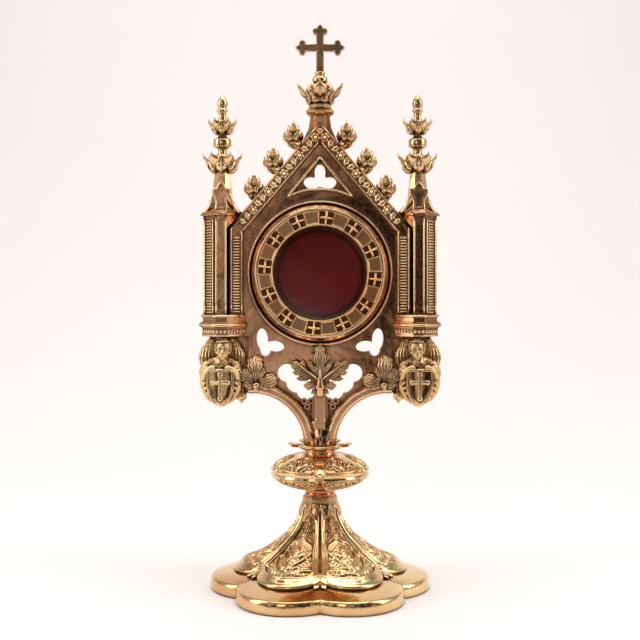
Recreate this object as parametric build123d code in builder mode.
"""A gothic altar monstrance in cast brass, built as an assembly of separate castings and fittings.

Frame: +Z up, the foot stands on z = 0, the stem is on the Z axis and the front faces -Y.
Sizes are in millimetres. "Depth" d is measured towards the front, so d = -y.
"""
from build123d import *
from math import cos, radians, sin, sqrt
import os

os.makedirs("parts", exist_ok=True)

# ---------------------------------------------------------------- driving dimensions
HEIGHT = 300.0

FOOT_LOBES = 6
FOOT_TIP_R = 58.3
FOOT_CUSP_R = 49.7
FOOT_RIM_H = 7.0
BELL_TIP_R = 45.0
BELL_CUSP_R = 35.5
FOOT_TOP = 48.7
NUT_SEAT_Z = 34.0

ROD_R = 2.5
ROD_HOLE_R = 2.8
ROD_LOW = 26.0
ROD_TOP = 90.0
WASHER_T = 1.2
NUT_T = 4.0
NUT_FLATS = 8.0

KNOP_R = 26.0
KNOP_LOW = 53.2
KNOP_MID = 61.7
KNOP_HIGH = 70.0
KNOP_NECK_R = 9.6
KNOP_WALL = 1.8
UPPER_COLLAR_TOP = 74.2
THROAT_Z = 75.7
THROAT_R = 8.6

PLATE_BACK = -3.0
PLATE_FRONT = 4.0
WING_FRONT = 1.0
WING_X = 41.2
WING_OUTER_X = 59.0
WING_TOP = 199.5
TOWER_SCREWS = [(52.0, 150.0), (52.0, 192.0)]
ANGEL_SCREW = (51.5, 118.0)
CORBEL_TOP = 133.5
CORBEL_INNER_X = 38.0

RING_Z = 167.0
RING_OUTER_R = 38.7
RING_INNER_R = 33.3
CASE_HOLE_R = 28.6
CASE_TUBE_R = 28.5
SEAT_R = 25.0
SEAT_BACK_D = -3.0
PAD_BORE_R = 25.7
CASE_FLANGE_R = 33.1
CASE_BACK_D = -8.1
CASE_FRONT_D = 7.6
GLASS_R = 27.0
GLASS_T = 1.5
WINDOW_R = 24.7
BEZEL_FLOOR_D = 9.2
BEZEL_FACE_D = 10.2
CROSS_COUNT = 12
CROSS_TURN = 6.5

GABLE_SLOPE = 1.1655
GABLE_APEX_Z = 247.35
NECK_HALF = 5.2
NECK_FOOT_X = 9.6
STUD_R = 1.5
NECK_TOP = 250.0
STUD_DEPTH = 8.0
SIDE_LEAF_D = 7.0

FRAME_X = 49.0
FRAME_D = 7.6
RIB_PITCH = 1.5

TOWER_X = 51.7
TOWER_OUTER_X = 61.8
TOWER_FRONT_D = 12.0
SHAFT_BOTTOM = 145.0
SHAFT_TOP = 199.5
SPIRE_D = 4.5
SPIRE_TOP = 220.4
SPIRE_TOP_R = 3.9

DOOR_R = 29.5
DOOR_T = 2.2
DOOR_FRONT_D = CASE_BACK_D - 0.1
HINGE_X = 32.5
HINGE_D = -9.3
HINGE_SCREW_X = 37.0
HINGE_SCREW_DZ = 7.0
PIN_R = 0.8
PIN_HOLE_R = 0.85
KNUCKLE_R = 1.8
BOARD_T = 1.0
PAD_R = 24.0
PAD_T = 4.0

CATCH_X = -33.5
POST_R = 2.2

SCREW_R = 1.0
SCREW_HEAD_R = 1.9
CASE_SCREW_PCR = 30.8


def face(depth, x=0.0, z=0.0):
    """A plane facing the front at the given depth, with local x along X and local y along Z."""
    return Plane(origin=(x, -depth, z), x_dir=(1, 0, 0), z_dir=(0, -1, 0))


def save(part, label):
    """Names a finished piece and writes it as one STEP file."""
    part.label = label
    export_step(part, f"parts/{label}.step")


def both_sides(part, name):
    """Writes a piece of the right side as it is, and its mirror image for the left side."""
    save(part, f"{name}_right")
    save(mirror(part, about=Plane.YZ), f"{name}_left")


def lobed_outline(tip_r, cusp_r):
    """A closed line of arcs that bulge between cusps, with one cusp at the front."""
    step = 360 / FOOT_LOBES
    for lobe in range(FOOT_LOBES):
        start = -90 + lobe * step
        polar = [(cusp_r, start), (tip_r, start + step / 2), (cusp_r, start + step)]
        ThreePointArc(*[(r * cos(radians(a)), r * sin(radians(a))) for r, a in polar])


def disc(radius, low, high, hole=ROD_HOLE_R):
    """A round plate on the stem with a hole for the tie rod."""
    with BuildPart() as plate:
        with BuildSketch(Plane.XY.offset(low)):
            Circle(radius)
            Circle(hole, mode=Mode.SUBTRACT)
        extrude(amount=high - low)
    return plate.part


def gable_z(x, inset=0.0):
    """Height of the gable's outer edge at x, moved inwards square to the slope by inset."""
    return GABLE_APEX_Z - GABLE_SLOPE * abs(x) - inset * sqrt(1 + GABLE_SLOPE**2)


# ---------------------------------------------------------------- foot
BELL_PROFILE = [(BELL_TIP_R + 1, 9.2), (35, 14.2), (27.7, 19.5), (18.6, 27.8), (12.1, 35.6), (9.9, 42)]

with BuildPart() as bell:
    with BuildSketch(Plane.XZ):
        with BuildLine():
            Spline(*BELL_PROFILE)
            Polyline(BELL_PROFILE[-1], (8.8, FOOT_TOP), (0, FOOT_TOP), (0, 3), (BELL_TIP_R + 1, 3),
                     BELL_PROFILE[0])
        make_face()
    revolve(axis=Axis.Z)
    with BuildSketch():
        with BuildLine():
            lobed_outline(BELL_TIP_R, BELL_CUSP_R)
        make_face()
    extrude(amount=FOOT_TOP, mode=Mode.INTERSECT)

with BuildPart() as apron:
    with BuildSketch(Plane.XZ):
        Polygon((0, 3), (FOOT_TIP_R, 3), (FOOT_TIP_R, FOOT_RIM_H), (35, 11.5), (0, 11.5), align=None)
    revolve(axis=Axis.Z)
    with BuildSketch():
        with BuildLine():
            lobed_outline(FOOT_TIP_R - 1.0, FOOT_CUSP_R - 1.0)
        make_face()
    extrude(amount=12, mode=Mode.INTERSECT)

with BuildPart() as foot_hollow:
    with BuildSketch(Plane.XZ):
        with BuildLine():
            Polyline((0, NUT_SEAT_Z), (8, NUT_SEAT_Z), (15, 27.2))
            Spline((15, 27.2), (24.5, 18.2), (42, 8.5))
            Polyline((42, 8.5), (48, 5.2), (48, 0), (0, 0), (0, NUT_SEAT_Z))
        make_face()
    revolve(axis=Axis.Z)
    with BuildSketch():
        with BuildLine():
            lobed_outline(FOOT_TIP_R - 3.2, FOOT_CUSP_R - 3.2)
        make_face()
    extrude(amount=5.0)

with BuildPart() as foot:
    with BuildSketch():
        with BuildLine():
            lobed_outline(FOOT_TIP_R, FOOT_CUSP_R)
        make_face()
    extrude(amount=FOOT_RIM_H, taper=8)
    add(apron.part)
    add(bell.part)
    add(foot_hollow.part, mode=Mode.SUBTRACT)
    with Locations((0, 0, 0)):
        Cylinder(ROD_HOLE_R, FOOT_TOP, align=(Align.CENTER, Align.CENTER, Align.MIN), mode=Mode.SUBTRACT)
save(foot.part, "foot")

# ---------------------------------------------------------------- tie rod, washer and nut
with BuildPart() as tie_rod:
    with BuildSketch(Plane.XY.offset(ROD_LOW)):
        Circle(ROD_R)
    extrude(amount=ROD_TOP - ROD_LOW)
    chamfer(tie_rod.edges().group_by(Axis.Z)[0], 0.5)
save(tie_rod.part, "tie_rod")

save(disc(6, NUT_SEAT_Z - WASHER_T, NUT_SEAT_Z), "foot_washer")

with BuildPart() as foot_nut:
    with BuildSketch(Plane.XY.offset(NUT_SEAT_Z - WASHER_T - NUT_T)):
        RegularPolygon(NUT_FLATS / 2, 6, major_radius=False)
        Circle(ROD_R, mode=Mode.SUBTRACT)
    extrude(amount=NUT_T)
save(foot_nut.part, "foot_nut")

# ---------------------------------------------------------------- collars and knop
with BuildPart() as lower_collar:
    with BuildSketch(Plane.XZ):
        with BuildLine():
            Polyline((ROD_HOLE_R, KNOP_LOW), (ROD_HOLE_R, FOOT_TOP), (7.9, FOOT_TOP), (8.2, FOOT_TOP + 1))
            ThreePointArc((8.2, FOOT_TOP + 1), (7.9, FOOT_TOP + 2.8), (KNOP_NECK_R, KNOP_LOW))
            Line((KNOP_NECK_R, KNOP_LOW), (ROD_HOLE_R, KNOP_LOW))
        make_face()
    revolve(axis=Axis.Z)
save(lower_collar.part, "lower_collar")


def knop_shell(end_z):
    """Half of the knop: a thin bowl that closes on the rod at end_z."""
    up = 1 if end_z > KNOP_MID else -1
    wall = KNOP_WALL
    with BuildPart() as shell:
        with BuildSketch(Plane.XZ):
            with BuildLine():
                ThreePointArc((KNOP_R, KNOP_MID), (21.2, KNOP_MID + up * 5.2), (KNOP_NECK_R, end_z))
                Polyline((KNOP_NECK_R, end_z), (ROD_HOLE_R, end_z), (ROD_HOLE_R, end_z - up * wall),
                         (KNOP_NECK_R - 1, end_z - up * wall))
                ThreePointArc((KNOP_NECK_R - 1, end_z - up * wall), (19.6, KNOP_MID + up * 4.2),
                              (KNOP_R - 2.2, KNOP_MID))
                Line((KNOP_R - 2.2, KNOP_MID), (KNOP_R, KNOP_MID))
            make_face()
        revolve(axis=Axis.Z)
    return shell.part


save(knop_shell(KNOP_LOW), "knop_lower")
save(knop_shell(KNOP_HIGH), "knop_upper")

with BuildPart() as upper_collar:
    with BuildSketch(Plane.XZ):
        with BuildLine():
            Polyline((ROD_HOLE_R, UPPER_COLLAR_TOP), (ROD_HOLE_R, KNOP_HIGH), (KNOP_NECK_R, KNOP_HIGH))
            ThreePointArc((KNOP_NECK_R, KNOP_HIGH), (8.3, KNOP_HIGH + 2.0), (9.2, UPPER_COLLAR_TOP))
            Line((9.2, UPPER_COLLAR_TOP), (ROD_HOLE_R, UPPER_COLLAR_TOP))
        make_face()
    revolve(axis=Axis.Z)
save(upper_collar.part, "upper_collar")

with BuildPart() as petal_collar:
    with BuildSketch(Plane.XY.offset(UPPER_COLLAR_TOP)):
        Circle(10.5)
        with PolarLocations(12.0, 6, start_angle=30):
            Ellipse(4.8, 4.4)
        Circle(ROD_HOLE_R, mode=Mode.SUBTRACT)
    extrude(amount=THROAT_Z - UPPER_COLLAR_TOP)
save(petal_collar.part, "petal_collar")

# ---------------------------------------------------------------- facade
ARM_X, ARM_Z, ARM_R = 36.0, THROAT_Z, 27.4
ARM_W = 5.6
ARM_D = 7.0
COLUMN_W, COLUMN_D = 5.2, 7.5
COLUMN_Z, COLUMN_H = 106.0, 44.0
WEB_D = 1.6
NECK_PLATE_Z = 244.0
FRAME_BAND_D = FRAME_D - 1.2
LEAF_RIVETS = [(-31.6, 110.6), (0.0, 112.0), (31.6, 110.6)]
OPENING_LOBES = [(17.6, 113.8, 4.9), (12.4, 108.9, 5.6), (7.6, 104.4, 4.9), (9.5, 111.0, 4.6)]
SIDE_TREFOIL = [(30.6, 131.8, 3.0, 5.8, -4), (23.9, 128.2, 4.8, 2.8, 6), (29.0, 126.4, 2.8, 3.4, 0)]
GABLE_TREFOIL = [(0, 220.6, 2.9, 4.3, 0), (0, 216.4, 3.5, 3.5, 0), (4.5, 215.0, 4.2, 3.1, 14)]
BERRIES = [(8.4, 99.0), (4.9, 99.1), (6.8, 96.0)]
BERRY_R = 1.75


def house(inset):
    """Right half of the frame's outline, from the apex to the foot of a pilaster, moved inwards."""
    x = FRAME_X - 1.2 * inset
    return [(0, gable_z(0, inset)), (x, gable_z(x, inset)), (x, SHAFT_BOTTOM)]


def house_band(outer, inner):
    """Right half of the band between two insets, as a closed polygon."""
    return Polygon(*house(outer), *reversed(house(inner)), align=None)


def lobes_both_sides(lobes):
    """Elliptical lobes (x, z, half width, half height, lean) and their mirror images."""
    for x, z, half_w, half_h, lean in lobes:
        with Locations(Location((x, z), lean), Location((-x, z), -lean)):
            Ellipse(half_w, half_h)


def arm_point(radius, degrees):
    """A point on a circle round the right arm's centre, at an angle above the centre line."""
    return ARM_X - radius * cos(radians(degrees)), ARM_Z + radius * sin(radians(degrees))


def gable_triangle(half, foot_z, top_z, sag_z):
    """A closed triangle under the gable whose lower side follows the ring."""
    Line((half, foot_z), (0, top_z))
    mirror(about=Plane.YZ)
    ThreePointArc((-half, foot_z), (0, sag_z), (half, foot_z))


with BuildPart() as frame:
    with BuildSketch(face(WING_FRONT)):
        house_band(0, 6.6)
    extrude(amount=FRAME_D - WING_FRONT)
    outer_edges = [
        edge for edge in frame.faces().sort_by(Axis.Y)[0].edges()
        if edge.center().Z > gable_z(edge.center().X, 0.5) or edge.center().X > FRAME_X - 0.5
    ]
    chamfer(outer_edges, 1.6, 2.6, reference=frame.faces().sort_by(Axis.Y)[0])
    with BuildSketch(face(FRAME_D)):
        house_band(2.3, 6.0)
    extrude(amount=FRAME_BAND_D - FRAME_D, mode=Mode.SUBTRACT)
    with BuildSketch(face(FRAME_BAND_D)):
        with Locations((44.5, SHAFT_BOTTOM + 1.6 + 13 * RIB_PITCH)):
            with GridLocations(0, RIB_PITCH, 1, 27):
                Rectangle(4.4, RIB_PITCH / 2)
    extrude(amount=0.9)
    mirror(about=Plane.YZ)

with BuildPart() as arm:
    with BuildSketch(Plane(origin=(ARM_X, 0, ARM_Z), x_dir=(0, 0, 1), z_dir=(1, 0, 0))):
        Polygon((ARM_R, PLATE_BACK), (ARM_R, 3.2), (ARM_R + 1.9, ARM_D), (ARM_R + 4.4, ARM_D),
                (ARM_R + 5.0, 5.4), (ARM_R + ARM_W, 5.0), (ARM_R + ARM_W, PLATE_BACK), align=None)
    revolve(axis=Axis((ARM_X, 0, ARM_Z), (0, 1, 0)), revolution_arc=-90)
    extrude(arm.faces().filter_by(Plane.YZ).sort_by(Axis.X)[-1], amount=4.0)
    mirror(about=Plane.YZ)

with BuildPart() as throat:
    with BuildSketch(Plane.XY.offset(THROAT_Z)):
        Circle(THROAT_R)
    with BuildSketch(Plane.XY.offset(THROAT_Z + 6)):
        Ellipse(9.6, 8.2)
    with BuildSketch(Plane.XY.offset(THROAT_Z + 13)):
        Ellipse(12.0, 6.2)
    loft()

# half section of the ring round the window: a sloping band between two narrow beads (radius, depth)
RING_PROFILE = [(RING_INNER_R, 3.0), (RING_INNER_R, 9.5), (RING_INNER_R + 0.4, 10.0),
                (RING_INNER_R + 1.1, 9.6), (RING_INNER_R + 1.3, 8.7), (RING_OUTER_R - 1.5, 6.3),
                (RING_OUTER_R - 1.3, 7.3), (RING_OUTER_R - 0.7, 7.3), (RING_OUTER_R, 5.0),
                (RING_OUTER_R, 3.0)]

with BuildPart() as ring_moulding:
    with BuildSketch(Plane.YZ):
        Polygon(*[(-d, RING_Z + r) for r, d in RING_PROFILE], align=None)
    revolve(axis=Axis((0, 0, RING_Z), (0, 1, 0)))

# the plate itself, with its recessed gable field and its piercings
with BuildPart() as plate:
    with BuildSketch(face(PLATE_BACK)):
        with BuildLine():
            ThreePointArc((THROAT_R, THROAT_Z), arm_point(ARM_R, 45), (ARM_X, ARM_Z + ARM_R))
            Polyline((ARM_X, ARM_Z + ARM_R), (44, 103.5), (56, 113), (WING_OUTER_X, 119),
                     (WING_OUTER_X, WING_TOP), ((GABLE_APEX_Z - WING_TOP) / GABLE_SLOPE, WING_TOP),
                     (NECK_FOOT_X, gable_z(NECK_FOOT_X)),
                     (7.4, 240.8), (6.0, NECK_PLATE_Z), (NECK_HALF, NECK_TOP), (0, NECK_TOP))
            mirror(about=Plane.YZ)
            Line((-THROAT_R, THROAT_Z), (THROAT_R, THROAT_Z))
        make_face()
    extrude(amount=PLATE_FRONT - PLATE_BACK)
    add(arm.part)
    add(throat.part)
    with BuildSketch(Plane.XY.offset(NECK_PLATE_Z)):
        RegularPolygon(NECK_HALF, 8, major_radius=False, rotation=22.5)
    extrude(amount=NECK_TOP - NECK_PLATE_Z)
    with BuildSketch(face(PLATE_FRONT)):
        with BuildLine():
            gable_triangle(18.0, 207.2, 229.4, RING_Z + 44)
        make_face()
        offset(amount=-1.0, mode=Mode.SUBTRACT)
    extrude(amount=2.0)
    with BuildSketch(face(PLATE_FRONT)):
        with BuildLine():
            gable_triangle(16.0, 208.6, 227.8, RING_Z + 45.2)
        make_face()
    extrude(amount=-2.6, mode=Mode.SUBTRACT)
    with BuildSketch(face(PLATE_BACK)):
        lobes_both_sides(GABLE_TREFOIL)
        lobes_both_sides(SIDE_TREFOIL)
        lobes_both_sides([(x, z, r, r, 0) for x, z, r in OPENING_LOBES])
    extrude(amount=20, mode=Mode.SUBTRACT)

# holes: window case, tie rod, apex stud, case screws, rivets, tower and angel screws, hinge and catch
with BuildPart() as facade_holes:
    with BuildSketch(face(PLATE_BACK, z=RING_Z)):
        Circle(CASE_HOLE_R)
        with PolarLocations(CASE_SCREW_PCR, 4, start_angle=45):
            Circle(SCREW_R + 0.1)
    extrude(amount=30)
    with BuildSketch(Plane.XY.offset(THROAT_Z)):
        Circle(ROD_R)
    extrude(amount=ROD_TOP - THROAT_Z)
    with BuildSketch(Plane.XY.offset(NECK_TOP)):
        Circle(STUD_R)
    extrude(amount=-STUD_DEPTH)
    with BuildSketch(face(PLATE_BACK)):
        with Locations(*LEAF_RIVETS):
            Circle(SCREW_R)
        for x, z in TOWER_SCREWS + [ANGEL_SCREW]:
            with Locations((x, z), (-x, z)):
                Circle(SCREW_R)
    extrude(amount=14)
    with BuildSketch(face(PLATE_BACK)):
        with Locations((HINGE_SCREW_X, RING_Z + HINGE_SCREW_DZ), (HINGE_SCREW_X, RING_Z - HINGE_SCREW_DZ),
                       (CATCH_X, RING_Z)):
            Circle(SCREW_R)
    extrude(amount=5)

with BuildPart() as facade:
    add(plate.part)
    # the column stands in front of the large openings
    with BuildSketch(face(PLATE_BACK)):
        with Locations((0, COLUMN_Z)):
            Rectangle(COLUMN_W, COLUMN_H)
    extrude(amount=COLUMN_D - PLATE_BACK)
    # the webs between arm and column are thinner than the plate and carry three berries
    with BuildSketch(face(WEB_D)):
        with BuildLine():
            ThreePointArc((4.2, 87.0), arm_point(33.2, 42), (24.0, 106.6))
            Polyline((24.0, 106.6), (20, 116), (4.2, 116), (4.2, 87.0))
        make_face()
        mirror(about=Plane.YZ)
    extrude(amount=6, mode=Mode.SUBTRACT)
    with BuildSketch(face(WEB_D - 0.6)):
        with Locations(*BERRIES, *[(-x, z) for x, z in BERRIES]):
            Circle(BERRY_R)
    extrude(amount=2.6)
    with BuildSketch(face(WEB_D + 2.0)):
        with Locations(*BERRIES, *[(-x, z) for x, z in BERRIES]):
            Circle(BERRY_R - 0.95)
    extrude(amount=-1.5, mode=Mode.SUBTRACT)
    # thin wings behind the towers and the angels
    with BuildSketch(face(WING_FRONT)):
        with Locations((WING_X + 15, 166), (-WING_X - 15, 166)):
            Rectangle(30, 70)
        with Locations((CORBEL_INNER_X + 15, 115), (-CORBEL_INNER_X - 15, 115)):
            Rectangle(30, 2 * (CORBEL_TOP - 115))
    extrude(amount=12, mode=Mode.SUBTRACT)
    add(frame.part)
    add(ring_moulding.part)
    with BuildSketch(face(PLATE_FRONT)):
        with Locations(LEAF_RIVETS[0], LEAF_RIVETS[2]):
            Circle(3.0)
    extrude(amount=SIDE_LEAF_D - PLATE_FRONT)
    add(facade_holes.part, mode=Mode.SUBTRACT)
save(facade.part, "facade")


def screw(x, z, head_d, tip_d, radius=SCREW_R):
    """A screw put in from the back: its head lies behind head_d and its shank reaches tip_d."""
    with BuildPart() as one:
        with BuildSketch(face(head_d, x, z)):
            Circle(SCREW_HEAD_R)
        extrude(amount=-1.2)
        with BuildSketch(face(head_d - 1.2, x, z)):
            Rectangle(2 * SCREW_HEAD_R, 0.6)
        extrude(amount=0.5, mode=Mode.SUBTRACT)
        with BuildSketch(face(head_d, x, z)):
            Circle(radius)
        extrude(amount=tip_d - head_d)
    return one.part


def save_group(parts, label):
    """Writes several loose pieces of one kind as one node."""
    group = Compound(label=label, children=parts)
    export_step(group, f"parts/{label}.step")


# ---------------------------------------------------------------- towers
def tower_section(grow):
    """Half octagon of the right tower, grown outwards, in plan; it stops at the facade's plate."""
    inner, outer = WING_X - 0.4 - grow, TOWER_OUTER_X + grow
    front = TOWER_FRONT_D + grow
    return [(WING_X, -WING_FRONT), (WING_X, -PLATE_FRONT), (inner, -PLATE_FRONT), (inner, -PLATE_FRONT - 0.2),
            (TOWER_X - 2.7 - 0.4 * grow, -front), (TOWER_X + 2.7 + 0.4 * grow, -front),
            (outer, -2.5 - grow), (outer, -WING_FRONT)]


EAVES = 1.6
BASE_LAYERS = [(CORBEL_TOP, 138.0, 0.8), (138.0, 138.8, 1.6), (138.8, 140.4, 2.3), (140.4, 141.2, 1.6),
               (141.2, 143.6, 0.5), (143.6, SHAFT_BOTTOM, 1.2)]
OGEE = [(-2.7, 1.0), (-2.3, 5.6), (-4.3, 9.4), (-4.7, 11.4), (-2.5, 11.2), (-1.6, 13.4), (-0.2, 14.9)]
OGEE_OUTLINE = OGEE + [(-x, z) for x, z in reversed(OGEE)]
SHIELD_D = TOWER_FRONT_D - 0.6
FACET = Plane(origin=(58.1, -7.25, 170.3), x_dir=(7.4, 9.5, 0), z_dir=(9.5, -7.4, 0))

with BuildPart() as tower:
    for low, high, grow in BASE_LAYERS:
        with BuildSketch(Plane.XY.offset(low)):
            Polygon(*tower_section(grow), align=None)
        extrude(amount=high - low)
    with BuildSketch(Plane.XY.offset(SHAFT_BOTTOM)):
        Polygon((WING_X, -WING_FRONT), (WING_X, -2.5), *tower_section(0)[4:], align=None)
    extrude(amount=SHAFT_TOP - SHAFT_BOTTOM)
    # ribbed strip between two fillets on the outer facet
    with BuildSketch(FACET):
        with GridLocations(0, RIB_PITCH, 1, 33):
            Rectangle(5.4, RIB_PITCH / 2)
        with GridLocations(8.0, 0, 2, 1):
            Rectangle(0.9, 50.5)
    extrude(amount=0.7)
    # sloping eaves round the shaft
    with BuildSketch(Plane.XY.offset(197.2)):
        Polygon((WING_X, -WING_FRONT), *tower_section(EAVES)[4:], (TOWER_OUTER_X + EAVES, -WING_FRONT),
                align=None)
    extrude(amount=1.0)
    with BuildSketch(Plane.XY.offset(198.2)):
        Polygon((WING_X, -WING_FRONT), *tower_section(EAVES)[4:7], (TOWER_OUTER_X + EAVES, -WING_FRONT),
                align=None)
    with BuildSketch(Plane.XY.offset(203.4)):
        Polygon((TOWER_X - 6, -WING_FRONT), (TOWER_X - 2.7, -10.4), (TOWER_X + 2.7, -10.4),
                (TOWER_X + 4.5, -6.5), (TOWER_X + 4.5, -WING_FRONT), align=None)
    loft()
    # octagonal spire with an ogee shield on its front
    with BuildSketch(Plane(origin=(TOWER_X, -SPIRE_D, SHAFT_TOP))):
        RegularPolygon(6.1, 8, major_radius=False, rotation=22.5)
    with BuildSketch(Plane(origin=(TOWER_X, -SPIRE_D, SPIRE_TOP))):
        RegularPolygon(SPIRE_TOP_R, 8, major_radius=False, rotation=22.5)
    loft()
    with BuildSketch(face(SPIRE_D, TOWER_X, SHAFT_TOP)):
        Polygon(*OGEE_OUTLINE, align=None)
    extrude(amount=SHIELD_D - SPIRE_D)
    with BuildSketch(face(SHIELD_D, TOWER_X, SHAFT_TOP)):
        Polygon(*OGEE_OUTLINE, align=None)
        offset(amount=-0.75, mode=Mode.SUBTRACT)
    extrude(amount=1.2)
    # room for the facade's gable and pilaster, and for the screws
    with BuildSketch(face(PLATE_BACK)):
        Polygon((20, SHAFT_BOTTOM), (FRAME_X, SHAFT_BOTTOM), (FRAME_X, gable_z(FRAME_X)), (20, gable_z(20)),
                align=None)
    extrude(amount=25, mode=Mode.SUBTRACT)
    with BuildSketch(face(WING_FRONT)):
        with Locations(*TOWER_SCREWS):
            Circle(SCREW_R)
    extrude(amount=6, mode=Mode.SUBTRACT)
both_sides(tower.part, "tower")

save_group([screw(side * x, z, PLATE_BACK, 6.0) for x, z in TOWER_SCREWS for side in (-1, 1)], "tower_screws")


# ---------------------------------------------------------------- leaf crowns and pinnacles
def crown(low, height, core_r, tip_r, leaves=6):
    """A ring of leaves round a core, as flat petals that reach tip_r."""
    middle = (core_r + tip_r) / 2
    with BuildPart() as petals:
        with BuildSketch(Plane.XY.offset(low)):
            Circle(core_r)
        extrude(amount=height)
        with BuildSketch(Plane.XY.offset(low + height * 0.25)):
            Circle(core_r + 1.0)
            with PolarLocations(middle, leaves):
                Ellipse((tip_r - core_r) / 2 + 0.5, tip_r * 0.24)
        extrude(amount=height * 0.4)
    return petals.part


# stem, lower crown, ring, neck, upper crown, small ring and bud (radius, height)
PINNACLE_PROFILE = [(0, 0), (3.9, 0), (3.4, 3), (4.6, 6.5), (2.6, 9), (2.6, 12.6), (4.3, 13.4), (4.3, 17.6),
                    (2.6, 18.8), (2.3, 21), (3.2, 25), (2.1, 28), (2.1, 31.8), (2.85, 32.3), (2.85, 33.4),
                    (2.0, 33.8), (2.6, 36), (2.0, 39), (0, 40.9)]

with BuildPart() as pinnacle:
    with BuildSketch(Plane.XZ):
        Polygon(*PINNACLE_PROFILE, align=None)
    revolve(axis=Axis.Z)
    add(crown(3.0, 6.5, 3.2, 10.4))
    add(crown(21.4, 6.0, 2.4, 7.6))
both_sides(Pos(TOWER_X, -SPIRE_D, SPIRE_TOP) * pinnacle.part, "pinnacle")

# ---------------------------------------------------------------- angels under the towers
with BuildPart() as angel:
    with BuildSketch(face(WING_FRONT)):
        # wings
        with Locations(Location((61.0, 125.5), -6)):
            Ellipse(4.2, 7.6)
        with Locations(Location((43.0, 125.5), 10)):
            Ellipse(4.6, 7.6)
        with Locations((52.0, 118)):
            Rectangle(19, 15)
        Polygon((42.5, 112), (61.5, 112), (60, 103), (52.5, 96.5), (44, 103), align=None)
        with Locations((41.2, 102)):
            Circle(3.3)
    extrude(amount=4)
    with BuildSketch(face(5)):
        with Locations((52.0, 119)):
            Ellipse(7.6, 4.4)
        with Locations((60.0, 111)):
            Ellipse(2.6, 6.5)
        with Locations((43.8, 112)):
            Ellipse(2.6, 6.0)
    extrude(amount=5.5)
    with BuildSketch(face(5)):
        Polygon((43.8, 116.6), (60.8, 116.6), (60.2, 106.5), (52.3, 97.5), (44.4, 106.5), align=None)
    extrude(amount=6.5)
    with BuildSketch(face(11.5)):
        with Locations((52.3, 108)):
            Rectangle(1.4, 11)
        with Locations((52.3, 110)):
            Rectangle(7, 1.4)
    extrude(amount=0.8)
    with Locations((51.6, -9.0, 126.6)):
        Sphere(4.4)
    with BuildSketch(face(PLATE_FRONT, 51.6, 121)):
        Rectangle(5, 6)
    extrude(amount=4)
    # the plate is thicker inside the corbel's inner edge
    with BuildSketch(face(WING_FRONT)):
        with Locations((CORBEL_INNER_X - 10, 115)):
            Rectangle(20, 60)
    extrude(amount=PLATE_FRONT - WING_FRONT, mode=Mode.SUBTRACT)
    with BuildSketch(face(WING_FRONT)):
        with Locations(ANGEL_SCREW):
            Circle(SCREW_R)
    extrude(amount=6, mode=Mode.SUBTRACT)
both_sides(angel.part, "angel")
save_group([screw(side * ANGEL_SCREW[0], ANGEL_SCREW[1], PLATE_BACK, 6.0) for side in (-1, 1)],
           "angel_screws")


# ---------------------------------------------------------------- leaves, crockets and rosette strips
def leaf(lobes, back_d, thickness, rivet):
    """A cast leaf made of elliptical lobes (x, z, half width, half length, lean) with a blind rivet hole."""
    with BuildPart() as cast:
        with BuildSketch(face(back_d)):
            for x, z, half_w, half_l, lean in lobes:
                with Locations(Location((x, z), lean)):
                    Ellipse(half_w, half_l)
        extrude(amount=thickness)
        with BuildSketch(face(back_d)):
            with Locations(rivet):
                Circle(SCREW_R)
        extrude(amount=thickness - 0.8, mode=Mode.SUBTRACT)
    return cast.part


CENTRE_LOBES = [(0, 120.6, 3.4, 7.4, 0), (-7.0, 117.6, 3.4, 7.0, 48), (7.0, 117.6, 3.4, 7.0, -48),
                (0, 110, 3.2, 5.4, 0), (-4.6, 107.0, 1.7, 3.6, 100), (4.6, 107.0, 1.7, 3.6, -100)]
SIDE_LOBES = [(32.0, 117.4, 3.8, 7.6, 0), (25.8, 111.8, 3.3, 5.6, 72), (36.6, 111.2, 3.0, 4.6, -78),
              (31.6, 110.6, 3.6, 4.2, 0)]

save(leaf(CENTRE_LOBES, COLUMN_D, 3.0, LEAF_RIVETS[1]), "centre_leaf")
both_sides(leaf(SIDE_LOBES, SIDE_LEAF_D, 2.6, LEAF_RIVETS[2]), "leaf")
RIVET_TIPS = [SIDE_LEAF_D + 1.8, COLUMN_D + 2.2, SIDE_LEAF_D + 1.8]
save_group([screw(x, z, PLATE_BACK, tip) for (x, z), tip in zip(LEAF_RIVETS, RIVET_TIPS)], "leaf_rivets")

CROCKETS = [(14.3, 241.1), (25.0, 227.6), (35.0, 213.8)]

with BuildPart() as crockets:
    with BuildSketch(face(-1.0)):
        with Locations(*CROCKETS):
            Ellipse(2.2, 5.4)
        with Locations(*[(x, z - 1.2) for x, z in CROCKETS]):
            Ellipse(4.8, 2.4)
        with Locations(*[Location((x - 2.6, z - 5.6), -38) for x, z in CROCKETS]):
            Rectangle(2.6, 9)
        Polygon((0, gable_z(0)), (60, gable_z(60)), (0, gable_z(60)), align=None, mode=Mode.SUBTRACT)
    extrude(amount=3.6)
both_sides(crockets.part, "crockets")

with BuildPart() as gable_strip:
    with BuildSketch(face(FRAME_D - 1.2)):
        Polygon((1.0, gable_z(1.0, 2.4)), (41.5, gable_z(41.5, 2.4)), (41.5, gable_z(41.5, 5.9)),
                (1.0, gable_z(1.0, 5.9)), align=None)
    extrude(amount=0.6)
    with BuildSketch(face(FRAME_D - 0.6)):
        with Locations(*[(x, gable_z(x, 4.15)) for x in (6, 14, 22, 30, 38)]):
            Circle(1.6)
    extrude(amount=0.8)
both_sides(gable_strip.part, "gable_strip")

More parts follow.
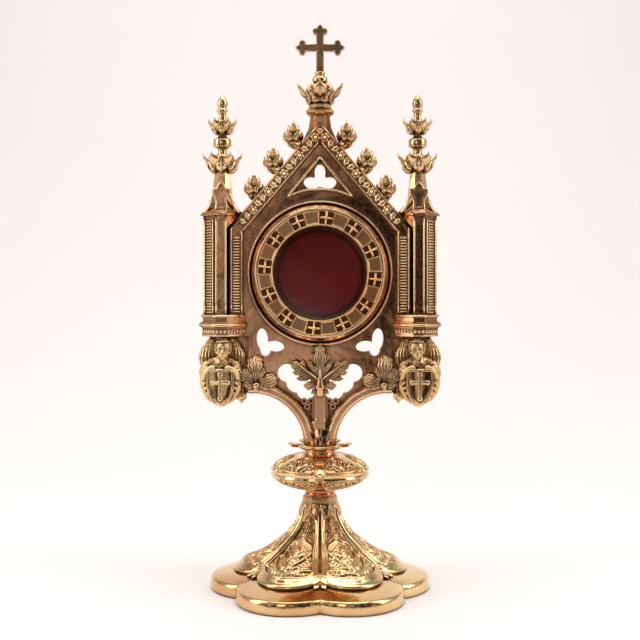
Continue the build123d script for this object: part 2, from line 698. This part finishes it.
# ---------------------------------------------------------------- apex finial
COLLAR_TOP = 256.5
CROWN_TOP = 268.4
KNOB_TOP = 274.5
CROSS_ARM_Z = 287.4
STUD_IN_CROSS = 3.0
CROSS_HALF_T = 1.8
CROSS_HALF_SPAN = 13.3

with BuildPart() as collar_lens:
    with BuildSketch(Plane.XY.offset(NECK_TOP + 0.9)):
        RegularPolygon(7.4, 8, major_radius=False, rotation=22.5)
    extrude(amount=3.6)
    chamfer(collar_lens.edges().filter_by(Plane.XY), 1.3)

with BuildPart() as apex_collar:
    add(collar_lens.part)
    with BuildSketch(Plane.XY.offset(NECK_TOP)):
        RegularPolygon(4.9, 8, major_radius=False, rotation=22.5)
    extrude(amount=COLLAR_TOP - NECK_TOP)
    with BuildSketch(Plane.XY.offset(COLLAR_TOP - 1.6)):
        RegularPolygon(5.9, 8, major_radius=False, rotation=22.5)
    extrude(amount=1.6)
    with BuildSketch(Plane.XY.offset(NECK_TOP)):
        Circle(STUD_R)
    extrude(amount=COLLAR_TOP - NECK_TOP, mode=Mode.SUBTRACT)
save(apex_collar.part, "apex_collar")

with BuildPart() as apex_crown:
    with BuildSketch(Plane.XZ):
        Polygon((STUD_R, COLLAR_TOP), (5.2, COLLAR_TOP), (3.4, COLLAR_TOP + 2), (3.2, CROWN_TOP),
                (STUD_R, CROWN_TOP), align=None)
    revolve(axis=Axis.Z)
    add(crown(COLLAR_TOP + 2, 8.5, 3.2, 12.0))
    with BuildSketch(Plane.XY.offset(COLLAR_TOP)):
        Circle(STUD_R)
    extrude(amount=20, mode=Mode.SUBTRACT)
save(apex_crown.part, "apex_crown")

with BuildPart() as apex_knob:
    with BuildSketch(Plane.XZ):
        Polygon((STUD_R, CROWN_TOP), (3.4, CROWN_TOP), (4.1, CROWN_TOP + 1), (4.1, CROWN_TOP + 3),
                (2.6, CROWN_TOP + 4.2), (2.8, KNOB_TOP - 1.4), (2.8, KNOB_TOP), (STUD_R, KNOB_TOP),
                align=None)
    revolve(axis=Axis.Z)
save(apex_knob.part, "apex_knob")

with BuildPart() as apex_stud:
    with BuildSketch(Plane.XY.offset(NECK_TOP - STUD_DEPTH)):
        Circle(STUD_R)
    extrude(amount=KNOB_TOP + STUD_IN_CROSS - NECK_TOP + STUD_DEPTH)
save(apex_stud.part, "apex_stud")

# end of a cross arm, reaching from its root to a pointed tip between two round buds
BUD_SPREAD, BUD_R, BUD_BACK, TIP_HALF = 2.3, 1.7, 3.9, 1.5


def arm_end(x, z, turn):
    """A budded tip: two round buds and a pointed leaf that ends at (x, z)."""
    with Locations(Location((x, z), turn)):
        Polygon((-2.0, -6), (2.0, -6), (2.0, -3.4), (TIP_HALF, -1.6), (0, 0), (-TIP_HALF, -1.6), (-2.0, -3.4),
                align=None)
        with Locations((-BUD_SPREAD, -BUD_BACK), (BUD_SPREAD, -BUD_BACK)):
            Circle(BUD_R)


with BuildPart() as cross:
    with BuildSketch(face(-CROSS_HALF_T)):
        with Locations((0, (KNOB_TOP + HEIGHT - 3) / 2)):
            Rectangle(4.0, HEIGHT - 3 - KNOB_TOP)
        with Locations((0, CROSS_ARM_Z)):
            Rectangle(22, 3.7)
        arm_end(0, HEIGHT, 0)
        arm_end(CROSS_HALF_SPAN, CROSS_ARM_Z, -90)
        arm_end(-CROSS_HALF_SPAN, CROSS_ARM_Z, 90)
    extrude(amount=2 * CROSS_HALF_T)
    chamfer(cross.faces().sort_by(Axis.Y)[0].edges(), 0.45)
    with BuildSketch(Plane.XY.offset(KNOB_TOP)):
        Circle(STUD_R)
    extrude(amount=STUD_IN_CROSS, mode=Mode.SUBTRACT)
save(cross.part, "cross")

# ---------------------------------------------------------------- window case
DRUM_PROFILE = [(SEAT_R, SEAT_BACK_D), (PAD_BORE_R, SEAT_BACK_D), (PAD_BORE_R, CASE_BACK_D),
                (CASE_TUBE_R, CASE_BACK_D), (CASE_TUBE_R, PLATE_FRONT),
                (CASE_FLANGE_R, PLATE_FRONT), (CASE_FLANGE_R, CASE_FRONT_D), (GLASS_R + 0.1, CASE_FRONT_D),
                (GLASS_R + 0.1, CASE_FRONT_D - GLASS_T - 0.1), (SEAT_R, CASE_FRONT_D - GLASS_T - 0.1)]
CASE_AXIS = Axis((0, 0, RING_Z), (0, 1, 0))

with BuildPart() as case_drum:
    with BuildSketch(Plane.YZ):
        Polygon(*[(-d, RING_Z + r) for r, d in DRUM_PROFILE], align=None)
    revolve(axis=CASE_AXIS)
    with BuildSketch(face(PLATE_FRONT, z=RING_Z)):
        with PolarLocations(CASE_SCREW_PCR, 4, start_angle=45):
            Circle(SCREW_R + 0.1)
    extrude(amount=CASE_FRONT_D - PLATE_FRONT, mode=Mode.SUBTRACT)
save(case_drum.part, "case_drum")

CELL_R = (26.0 + 32.6) / 2
CROSS_ANGLES = [90 - CROSS_TURN + 360 / CROSS_COUNT * k for k in range(CROSS_COUNT)]

with BuildPart() as bezel:
    with BuildSketch(face(CASE_FRONT_D, z=RING_Z)):
        Circle(33.2)
        Circle(WINDOW_R, mode=Mode.SUBTRACT)
    extrude(amount=BEZEL_FLOOR_D - CASE_FRONT_D)
    with BuildSketch(face(BEZEL_FLOOR_D, z=RING_Z)):
        Circle(33.2)
        Circle(32.6, mode=Mode.SUBTRACT)
        Circle(26.0)
        Circle(WINDOW_R, mode=Mode.SUBTRACT)
        for angle in CROSS_ANGLES:
            with PolarLocations(CELL_R, 1, start_angle=angle):
                Rectangle(7.2, 7.4)
                with GridLocations(3.1, 3.5, 2, 2):
                    Rectangle(2.2, 2.5, mode=Mode.SUBTRACT)
    extrude(amount=BEZEL_FACE_D - BEZEL_FLOOR_D)
    with BuildSketch(face(BEZEL_FLOOR_D, z=RING_Z)):
        with PolarLocations(CELL_R, CROSS_COUNT, start_angle=CROSS_ANGLES[0] + 180 / CROSS_COUNT):
            Rectangle(5.4, 6.0)
    extrude(amount=0.6)
    with BuildSketch(face(CASE_FRONT_D, z=RING_Z)):
        with PolarLocations(CASE_SCREW_PCR, 4, start_angle=45):
            Circle(SCREW_R)
    extrude(amount=1.2, mode=Mode.SUBTRACT)
save(bezel.part, "bezel")

with BuildPart() as glass:
    with BuildSketch(face(CASE_FRONT_D - GLASS_T - 0.1, z=RING_Z)):
        Circle(GLASS_R)
    extrude(amount=GLASS_T)
    chamfer(glass.edges(), 0.2)
save(glass.part, "glass")

CASE_SCREW_OFFSET = CASE_SCREW_PCR * cos(radians(45))
save_group([screw(sx * CASE_SCREW_OFFSET, RING_Z + sz * CASE_SCREW_OFFSET, PLATE_BACK, CASE_FRONT_D + 1.0)
            for sx in (-1, 1) for sz in (-1, 1)], "case_screws")

# ---------------------------------------------------------------- door at the back, with its hinge
DOOR_BACK_D = DOOR_FRONT_D - DOOR_T
DOOR_KNUCKLE_H = 5.8
BRACKET_KNUCKLE_Z = 3.0
BRACKET_KNUCKLE_H = 3.5
KNOB_X = -20.0
KNOB_PROFILE = [(0, 0), (0, 1.3), (1.6, 1.1), (2.4, 2.4), (3.8, 2.4), (4.4, 1.6), (4.4, 0)]

with BuildPart() as door:
    with BuildSketch(face(DOOR_FRONT_D, z=RING_Z)):
        Circle(DOOR_R)
    extrude(amount=-DOOR_T)
    chamfer(door.faces().sort_by(Axis.Y)[-1].edges(), 0.7)
    with BuildSketch(face(DOOR_BACK_D, z=RING_Z)):
        Circle(25)
        Circle(23.8, mode=Mode.SUBTRACT)
    extrude(amount=0.5, mode=Mode.SUBTRACT)
    with BuildSketch(Plane.XY.offset(RING_Z - DOOR_KNUCKLE_H / 2)):
        Polygon((27, -DOOR_FRONT_D), (HINGE_X, -DOOR_FRONT_D), (HINGE_X, -DOOR_BACK_D), (27, -DOOR_BACK_D),
                align=None)
        with Locations((HINGE_X, -HINGE_D)):
            Circle(KNUCKLE_R)
            Circle(PIN_HOLE_R, mode=Mode.SUBTRACT)
    extrude(amount=DOOR_KNUCKLE_H)
save(door.part, "door")

with BuildPart() as hinge_bracket:
    with BuildSketch(face(PLATE_BACK)):
        with Locations((36.6, RING_Z)):
            RectangleRounded(10, 21, 1.2)
    extrude(amount=-1.5)
    for side in (-1, 1):
        low = RING_Z + side * (BRACKET_KNUCKLE_Z + BRACKET_KNUCKLE_H / 2) - BRACKET_KNUCKLE_H / 2
        with BuildSketch(Plane.XY.offset(low)):
            Polygon((HINGE_X - KNUCKLE_R, -PLATE_BACK), (HINGE_X + KNUCKLE_R, -PLATE_BACK),
                    (HINGE_X + KNUCKLE_R, -HINGE_D), (HINGE_X - KNUCKLE_R, -HINGE_D), align=None)
            with Locations((HINGE_X, -HINGE_D)):
                Circle(KNUCKLE_R)
        extrude(amount=BRACKET_KNUCKLE_H)
    with BuildSketch(Plane.XY.offset(RING_Z - 10)):
        with Locations((HINGE_X, -HINGE_D)):
            Circle(PIN_R)
    extrude(amount=20, mode=Mode.SUBTRACT)
    with BuildSketch(face(PLATE_BACK)):
        with Locations((HINGE_SCREW_X, RING_Z + HINGE_SCREW_DZ), (HINGE_SCREW_X, RING_Z - HINGE_SCREW_DZ)):
            Circle(SCREW_R)
    extrude(amount=-1.5, mode=Mode.SUBTRACT)
save(hinge_bracket.part, "hinge_bracket")

save_group([screw(HINGE_SCREW_X, RING_Z + side * HINGE_SCREW_DZ, PLATE_BACK - 1.5, PLATE_BACK + 4.5)
            for side in (-1, 1)], "hinge_screws")

with BuildPart() as hinge_pin:
    with BuildSketch(Plane.XY.offset(RING_Z - 7.2)):
        with Locations((HINGE_X, -HINGE_D)):
            Circle(PIN_R)
    extrude(amount=14.4)
save(hinge_pin.part, "hinge_pin")


def backing(front_d, thickness, radius, label):
    """A round piece of the backing that the door carries into the bore."""
    with BuildPart() as layer:
        with BuildSketch(face(front_d, z=RING_Z)):
            Circle(radius)
        extrude(amount=-thickness)
        chamfer(layer.faces().sort_by(Axis.Y)[0].edges(), 0.3)
    save(layer.part, label)


backing(DOOR_FRONT_D + BOARD_T, BOARD_T, PAD_R - 0.4, "pad_board")
backing(DOOR_FRONT_D + BOARD_T + PAD_T, PAD_T, PAD_R, "velvet_pad")

with BuildPart() as door_knob:
    with BuildSketch(Plane.YZ.offset(KNOB_X)):
        Polygon(*[(back - DOOR_BACK_D, RING_Z + r) for back, r in KNOB_PROFILE], align=None)
    revolve(axis=Axis((KNOB_X, 0, RING_Z), (0, 1, 0)))
save(door_knob.part, "door_knob")

# ---------------------------------------------------------------- turn button that holds the door shut
BUTTON_FRONT_D = -10.6
BUTTON_T = 1.5
POST_BACK_D = BUTTON_FRONT_D + 0.1

with BuildPart() as catch_post:
    with BuildSketch(face(PLATE_BACK, CATCH_X, RING_Z)):
        Circle(POST_R)
    extrude(amount=POST_BACK_D - PLATE_BACK)
    with BuildSketch(face(PLATE_BACK, CATCH_X, RING_Z)):
        Circle(SCREW_R)
    extrude(amount=4)
    with BuildSketch(face(POST_BACK_D, CATCH_X, RING_Z)):
        Circle(SCREW_R)
    extrude(amount=4, mode=Mode.SUBTRACT)
save(catch_post.part, "catch_post")

with BuildPart() as catch:
    with BuildSketch(face(BUTTON_FRONT_D, CATCH_X, RING_Z)):
        SlotOverall(12, 4, rotation=90)
        Circle(SCREW_R + 0.05, mode=Mode.SUBTRACT)
    extrude(amount=-BUTTON_T)
save(catch.part, "catch")

save(screw(CATCH_X, RING_Z, BUTTON_FRONT_D - BUTTON_T - 0.1, POST_BACK_D + 3.5), "catch_screw")
